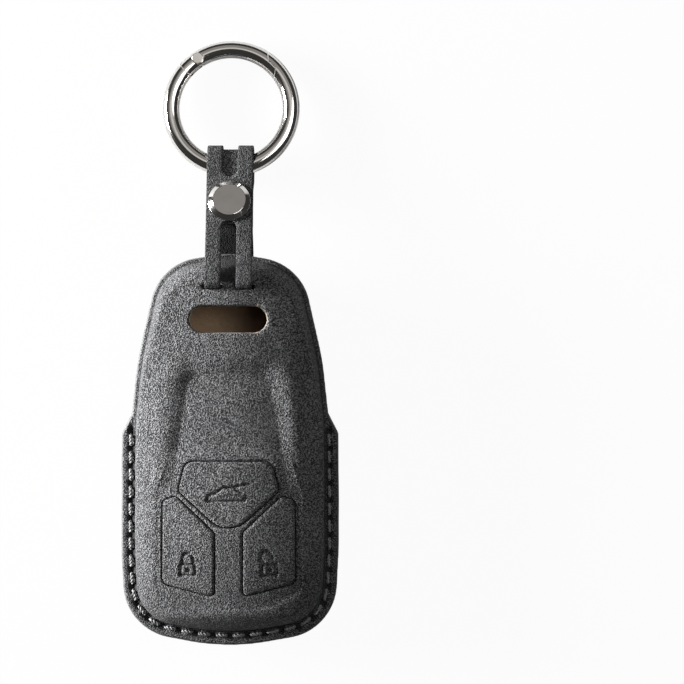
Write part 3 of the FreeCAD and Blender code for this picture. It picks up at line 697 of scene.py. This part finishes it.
def seam(name, node, rows, up):
    points = []
    faces = []
    sides = thread["sides"]
    for number, (centre, way, half, low, high) in enumerate(rows):
        sign = 1.0 if up else -1.0
        top = high - thread["radius"] if up else -(low + thread["radius"])
        foot = low if up else -high
        line, lengths = bow(half, foot, top, thread["bend"])
        side = np.array((-way[1], way[0], 0.0))
        tangents = np.gradient(line, axis=0)
        tangents /= np.linalg.norm(tangents, axis=1)[:, None]
        for ply in (0.0, math.pi):
            base = len(points)
            for (x, z), (tx, tz), length in zip(line, tangents, lengths):
                lift = np.array((-tz * way[0], -tz * way[1], tx * sign))
                turn = ply + 2 * math.pi * length / thread["pitch"] + number * thread["lag"]
                spot = np.array((centre[0] + way[0] * x, centre[1] + way[1] * x, z * sign))
                spot = spot + thread["twist"] * (math.cos(turn) * side + math.sin(turn) * lift)
                for k in range(sides):
                    a = 2 * math.pi * k / sides
                    points.append(spot + thread["ply"] * (math.cos(a) * side + math.sin(a) * lift))
            for r in range(len(line) - 1):
                for k in range(sides):
                    n = (k + 1) % sides
                    quad = (base + r * sides + k, base + r * sides + n,
                            base + (r + 1) * sides + n, base + (r + 1) * sides + k)
                    faces.append(quad if up else quad[::-1])
            faces.append(tuple(range(base, base + sides)))
            faces.append(tuple(range(base + (len(line) - 1) * sides, base + len(line) * sides)))
    piece = newPiece(name, points, faces, threadMaterial)
    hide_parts(node)
    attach(piece, "case")
    print(name, len(faces))


seam("front_seam", "stitches_front", frontStaples, True)
seam("back_seam", "stitches_back", backStaples, False)

# Strap: one long strip, twice round the ring and once through the mouth and the slit
strap = {
    "half": 5.2, "wall": 0.9, "slope": math.radians(20.8), "rivet": (31.0951, 12.670),
    "turn": 2.682, "reach": 6.2, "crotchU": 4.7787, "easing": 1.0, "tail": 4.9, "rowStep": 0.34,
    "slotHalf": 1.7, "lowerSlotU": -4.493, "upperSlotU": 6.311,
    "mouthY": 19.695, "insideY": 14.595, "insideZ": 7.2, "slitY": 11.995, "slitZ": 10.6,
    "lap": 0.5, "past": 0.6, "bends": (1.6, 1.5, 2.2, 2.2, 0.8),
    "bendRows": 12, "turnRows": 40, "crotchRows": 7,
    "smoothRounds": 2, "smoothShare": 0.25, "columns": (0.25, 0.5, 0.75),
    "slitEdge": (13.5, 12.0), "edgeSteps": ((0.0, 0.18), (0.03, 0.30), (0.10, 0.40), (0.24, 0.45)),
    # The strap is darker all over, in part as painted shade; its runs below the top layer get more painted
    # shade, and the inner layer between the legs over the ring is painted lighter, as painted light
    "wavePitch": 3.0, "waveHeight": 0.035, "paintedShade": 0.56,
    "shadeBelow": 0.39, "shadeBelowDrop": (-2.4, -1.3), "shadeBelowY": (27.0, 29.0),
    "between": 0.50, "betweenY": (36.0, 38.0), "betweenX": (1.5, 1.9),
}


def strapPoint(u, v):
    c, s = math.cos(strap["slope"]), math.sin(strap["slope"])
    return (strap["rivet"][0] + u * c + v * s, strap["rivet"][1] - u * s + v * c)


def turnPoints(layer):
    # From the stack round the ring and back to the stack, for one layer counted from the ring out.
    wall = strap["wall"]
    out = (layer - 0.5) * wall
    crotch = 2.0 * math.atan2(strap["turn"], strap["reach"])
    axisU = strap["crotchU"] + strap["reach"]
    axisV = -(strap["turn"] + 2 * wall)
    radius = strap["turn"] + out
    line = []
    for a in np.linspace(math.pi / 2, -math.pi / 2 - crotch, strap["turnRows"]):
        line.append((axisU + radius * math.cos(a), axisV + radius * math.sin(a)))
    baseU = strap["crotchU"] - out * math.sin(crotch)
    baseV = -2 * wall - out * math.cos(crotch)
    low = -2 * wall - out
    share = (baseV - low) / math.sin(crotch)
    corner = (baseU + share * math.cos(crotch), low)
    entry = (corner[0] + strap["easing"] * math.cos(crotch), corner[1] - strap["easing"] * math.sin(crotch))
    leave = (corner[0] - strap["easing"], low)
    for t in np.linspace(0.0, 1.0, strap["crotchRows"]):
        shares = ((1 - t) ** 2, 2 * t * (1 - t), t * t)
        line.append(tuple(sum(s * p[k] for s, p in zip(shares, (entry, corner, leave))) for k in (0, 1)))
    return [strapPoint(*p) for p in line]


def rounded(corners):
    # Open route with rounded corners, from (y, z, radius) points.
    line = [corners[0][:2]]
    for a, b, c in zip(corners, corners[1:], corners[2:]):
        a2, b2, c2 = (np.array(p[:2]) for p in (a, b, c))
        u = (a2 - b2) / np.linalg.norm(a2 - b2)
        w = (c2 - b2) / np.linalg.norm(c2 - b2)
        half = math.acos(float(np.clip(u @ w, -1, 1))) / 2
        reach = b[2] / math.tan(half)
        mid = (u + w) / np.linalg.norm(u + w)
        centre = b2 + mid * b[2] / math.sin(half)
        start = b2 + u * reach - centre
        end = b2 + w * reach - centre
        sweep = math.atan2(start[0] * end[1] - start[1] * end[0], float(start @ end))
        for t in np.linspace(0.0, 1.0, strap["bendRows"]):
            ca, sa = math.cos(sweep * t), math.sin(sweep * t)
            line.append((centre[0] + ca * start[0] - sa * start[1],
                         centre[1] + sa * start[0] + ca * start[1]))
    line.append(corners[-1][:2])
    return line


wall = strap["wall"]
legY, legZ = strapPoint(0, -wall / 2)
slitTurnZ = legZ + (legY - strap["slitY"]) * math.tan(strap["slope"])
inner = [strapPoint(-strap["tail"], -1.5 * wall)] + turnPoints(1)
tailBend, mouthBend, insideBend, slitBend, faceBend = strap["bends"]
passage = rounded([
    (*strapPoint(-strap["tail"] + strap["lap"], -2.5 * wall), 0.0),
    (*strapPoint(-strap["tail"] - strap["past"], -2.5 * wall), tailBend),
    (strap["mouthY"], strap["insideZ"], mouthBend),
    (strap["insideY"], strap["insideZ"], insideBend),
    (strap["slitY"], strap["slitZ"], slitBend),
    (strap["slitY"], slitTurnZ, faceBend),
    (*strapPoint(-strap["tail"] + strap["lap"], -0.5 * wall), 0.0),
])
outer = turnPoints(2) + [strapPoint(-strap["tail"], -3.5 * wall)]
route = np.array(inner + passage + outer)
lengths = np.concatenate(([0.0], np.cumsum(np.hypot(*np.diff(route, axis=0).T))))
slotFrom = lengths[len(inner) + 4 * strap["bendRows"]]  # after the fourth bend, in the slit


def slotHalf(spot, along):
    # Half width of the slot at a point of the route, on the front leg or over the ring.
    c, s = math.cos(strap["slope"]), math.sin(strap["slope"])
    dy, dz = spot[0] - strap["rivet"][0], spot[1] - strap["rivet"][1]
    u = dy * c - dz * s
    full = strap["slotHalf"]
    if along < slotFrom:
        return 0.0
    if u < strap["lowerSlotU"]:
        depth = strap["lowerSlotU"] - u
        if spot[0] < strap["slitEdge"][0] and spot[1] < strap["slitEdge"][1]:
            return 0.0
    elif u > strap["upperSlotU"]:
        depth = u - strap["upperSlotU"]
    else:
        return 0.0
    if depth >= full:
        return full
    return math.sqrt(max(full ** 2 - (full - depth) ** 2, 0.0))


even = np.linspace(0.0, lengths[-1], int(lengths[-1] / strap["rowStep"]))
line = np.stack((np.interp(even, lengths, route[:, 0]), np.interp(even, lengths, route[:, 1])), 1)
for _ in range(strap["smoothRounds"]):
    line[1:-1] += strap["smoothShare"] * (line[:-2] + line[2:] - 2 * line[1:-1])
tangent = np.gradient(line, axis=0)
tangent /= np.linalg.norm(tangent, axis=1)[:, None]
across = np.stack((-tangent[:, 1], tangent[:, 0]), 1)


def stripRows(spot, along):
    # Columns of one half of the strip: place across it and half of its thickness there.
    inside = slotHalf(spot, along)
    outside = strap["half"]
    border, full = strap["edgeSteps"][-1]
    columns = [(outside - inset, thick) for inset, thick in strap["edgeSteps"]]
    for t in strap["columns"]:
        columns.append((outside - border - t * (outside - 2 * border - inside), full))
    for inset, thick in reversed(strap["edgeSteps"]):
        columns.append((inside + inset, thick if inside > 0 else full))
    return columns


stripPoints = []
stripFaces = []
columnCount = len(stripRows((0.0, 0.0), 0.0))
ringCount = 2 * columnCount
rowHalves = [slotHalf(p, a) for p, a in zip(line, even)]
for sign in (1.0, -1.0):
    base = len(stripPoints)
    for spot, n, along in zip(line, across, even):
        columns = stripRows(spot, along)
        for x, thick in columns:
            stripPoints.append((sign * x, spot[0] + n[0] * thick, spot[1] + n[1] * thick))
        for x, thick in reversed(columns):
            stripPoints.append((sign * x, spot[0] - n[0] * thick, spot[1] - n[1] * thick))
    for r in range(len(line) - 1):
        for k in range(ringCount):
            if k == columnCount - 1 and rowHalves[r] == 0 and rowHalves[r + 1] == 0:
                continue
            n = (k + 1) % ringCount
            quad = (base + r * ringCount + k, base + r * ringCount + n,
                    base + (r + 1) * ringCount + n, base + (r + 1) * ringCount + k)
            stripFaces.append(quad if sign > 0 else quad[::-1])
    for r in (0, len(line) - 1):
        stripFaces.append(tuple(range(base + r * ringCount, base + (r + 1) * ringCount)))
strip = newPiece("strap_strip", stripPoints, stripFaces, suedeMaterial)
weld = bmesh.new()
weld.from_mesh(strip.data)
bmesh.ops.remove_doubles(weld, verts=weld.verts, dist=2e-7)
bmesh.ops.recalc_face_normals(weld, faces=weld.faces)
weld.to_mesh(strip.data)
weld.free()
stripFlat = pointsOf(strip.data)
setPoints(strip.data, waves(stripFlat, normalsOf(strip.data), strap["wavePitch"], strap["waveHeight"]))
giveAttribute(strip.data, "edge", np.zeros(len(stripFlat)))
# Painted shade on the strap: darker all over, darker still below the top layer, and painted light between the
# legs over the ring
x, y, z = stripFlat.T
below = z - strap["rivet"][1] + (y - strap["rivet"][0]) * math.tan(strap["slope"])
shadeBelow = (1.0 - step(below, *strap["shadeBelowDrop"])) * (1.0 - step(y, *strap["shadeBelowY"]))
between = step(y, *strap["betweenY"]) * (1.0 - step(np.abs(x), *strap["betweenX"]))
giveAttribute(strip.data, "paintedShade", strap["paintedShade"] + strap["shadeBelow"] * shadeBelow - strap["between"] * between)
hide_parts("strap", "strap_loop")
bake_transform(strip)
print("strap", len(strip.data.polygons))

# Metal pieces keep their CAD shapes
for node in ("rivet_cap", "rivet_base", "ring_body", "ring_gate", "gate_pin", "gate_plunger"):
    owner = frame["nodes"][node]
    for place in owner.material_slots:
        place.material = steelMaterial if node == "gate_plunger" else nickelMaterial

# The spring in the gate: a copy of the CAD coil, carried with the gate
slide = next(joint for joint in frame["joints"] if joint["name"] == "plunger_slide")
coil = linked("gate_coil", frame["nodes"]["gate_spring"].data.copy(), steelMaterial)
along = pointsOf(coil.data) @ np.array(slide["axis"])
seat = pointsOf(coil.data)[int(np.argmax(along))] * mm
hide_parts("gate_spring")
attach(coil, "gate")
1.0 - slide["range_m"][1] / (float(np.ptp(along)) * mm)
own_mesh(coil)
print("spring", round(float(np.ptp(along)), 2))

# Floor: white to the camera, apart from the part's shadow
ground = {"half": 3.0, "drop": 0.0003, "grey": 0.62, "white": 0.95}
floorMesh = bpy.data.meshes.new("floor")
corners = [(x * ground["half"], y * ground["half"], 0.0) for x, y in ((-1, -1), (1, -1), (1, 1), (-1, 1))]
floorMesh.from_pydata(corners, [], [(0, 1, 2, 3)])
floor = bpy.data.objects.new("floor", floorMesh)
floor.location.z = -ground["drop"]
scene.collection.objects.link(floor)
floorMaterial = bpy.data.materials.new("floor")
floorMaterial.use_nodes = True
floorTree = floorMaterial.node_tree
floorShader = floorTree.nodes["Principled BSDF"]
floorShader.inputs["Base Color"].default_value = (*(ground["grey"],) * 3, 1.0)
floorShader.inputs["Roughness"].default_value = 1.0
floorShader.inputs["Specular IOR Level"].default_value = 0.0
root = Wire(floorTree)
paths = root.add("ShaderNodeLightPath", {}, {}, "Is Camera Ray")
clear = Wire(floorTree, paths.socket.node.outputs["Is Transmission Ray"])
seen = (paths + clear).ramp(0.0, 1.0)
white = root.add("ShaderNodeEmission", {}, {"Color": (1.0, 1.0, 1.0, 1.0), "Strength": 1.0})
plain = Wire(floorTree, floorShader.outputs[0])
both = root.add("ShaderNodeMixShader", {}, {0: seen * ground["white"], 1: plain, 2: white})
floorTree.links.new(both.socket, floorTree.nodes["Material Output"].inputs["Surface"])
floorMesh.materials.append(floorMaterial)


# Light: softboxes of a given radiance, all in metres
def softbox(name, place, target, size, radiance, colour=(1.0, 1.0, 1.0)):
    lamp = bpy.data.lights.new(name, "AREA")
    lamp.shape = "RECTANGLE"
    lamp.size, lamp.size_y = size
    lamp.color = colour
    lamp.energy = radiance * math.pi * size[0] * size[1]
    box = bpy.data.objects.new(name, lamp)
    box.location = place
    box.rotation_euler = (Vector(target) - Vector(place)).to_track_quat("-Z", "Y").to_euler()
    scene.collection.objects.link(box)


casePlace = (0.0, 0.0, 0.010)
lamps = {
    "key": {"place": (-0.70, 0.14, 0.145), "target": casePlace, "size": (0.36, 0.20), "radiance": 124.0},
    "top": {"place": (0.33, 0.10, 0.72), "target": casePlace, "size": (0.42, 0.42), "radiance": 2.6},
    "ceiling": {"place": (0.05, 0.76, 0.90), "target": (0.05, 0.76, 0.0), "size": (1.3, 1.28),
                "radiance": 0.22, "colour": (1.0, 0.97, 0.93)},
    "glow": {"place": (0.00, 0.26, 0.88), "target": (0.00, 0.26, 0.0), "size": (0.45, 0.28),
             "radiance": 0.35, "colour": (1.0, 0.96, 0.91)},
}
for name, lamp in lamps.items():
    softbox(name, **lamp)

# Room: dim for all light, white behind the floor to the camera
room = {"dim": 0.035, "white": 1.0}
world = bpy.data.worlds.new("studio")
world.use_nodes = True
root = Wire(world.node_tree)
dim = root.add("ShaderNodeBackground", {}, {"Color": (1.0, 1.0, 1.0, 1.0), "Strength": room["dim"]})
white = root.add("ShaderNodeBackground", {}, {"Color": (1.0, 1.0, 1.0, 1.0), "Strength": room["white"]})
seen = root.add("ShaderNodeLightPath", {}, {}, "Is Camera Ray")
sky = root.add("ShaderNodeMixShader", {}, {0: seen, 1: dim, 2: white})
world.node_tree.links.new(sky.socket, world.node_tree.nodes["World Output"].inputs["Surface"])
scene.world = world

# Camera: straight down, as in the photograph
view = {"lens": 129.3, "sensor": 36.0, "place": (0.0251, -0.0002, 0.5600)}
lens = bpy.data.cameras.new("camera")
lens.lens = view["lens"]
lens.sensor_width = view["sensor"]
eye = bpy.data.objects.new("camera", lens)
eye.location = view["place"]
eye.rotation_euler = (0.0, 0.0, 0.0)
scene.collection.objects.link(eye)
scene.camera = eye
scene.view_settings.view_transform = "Standard"

print("scene done")
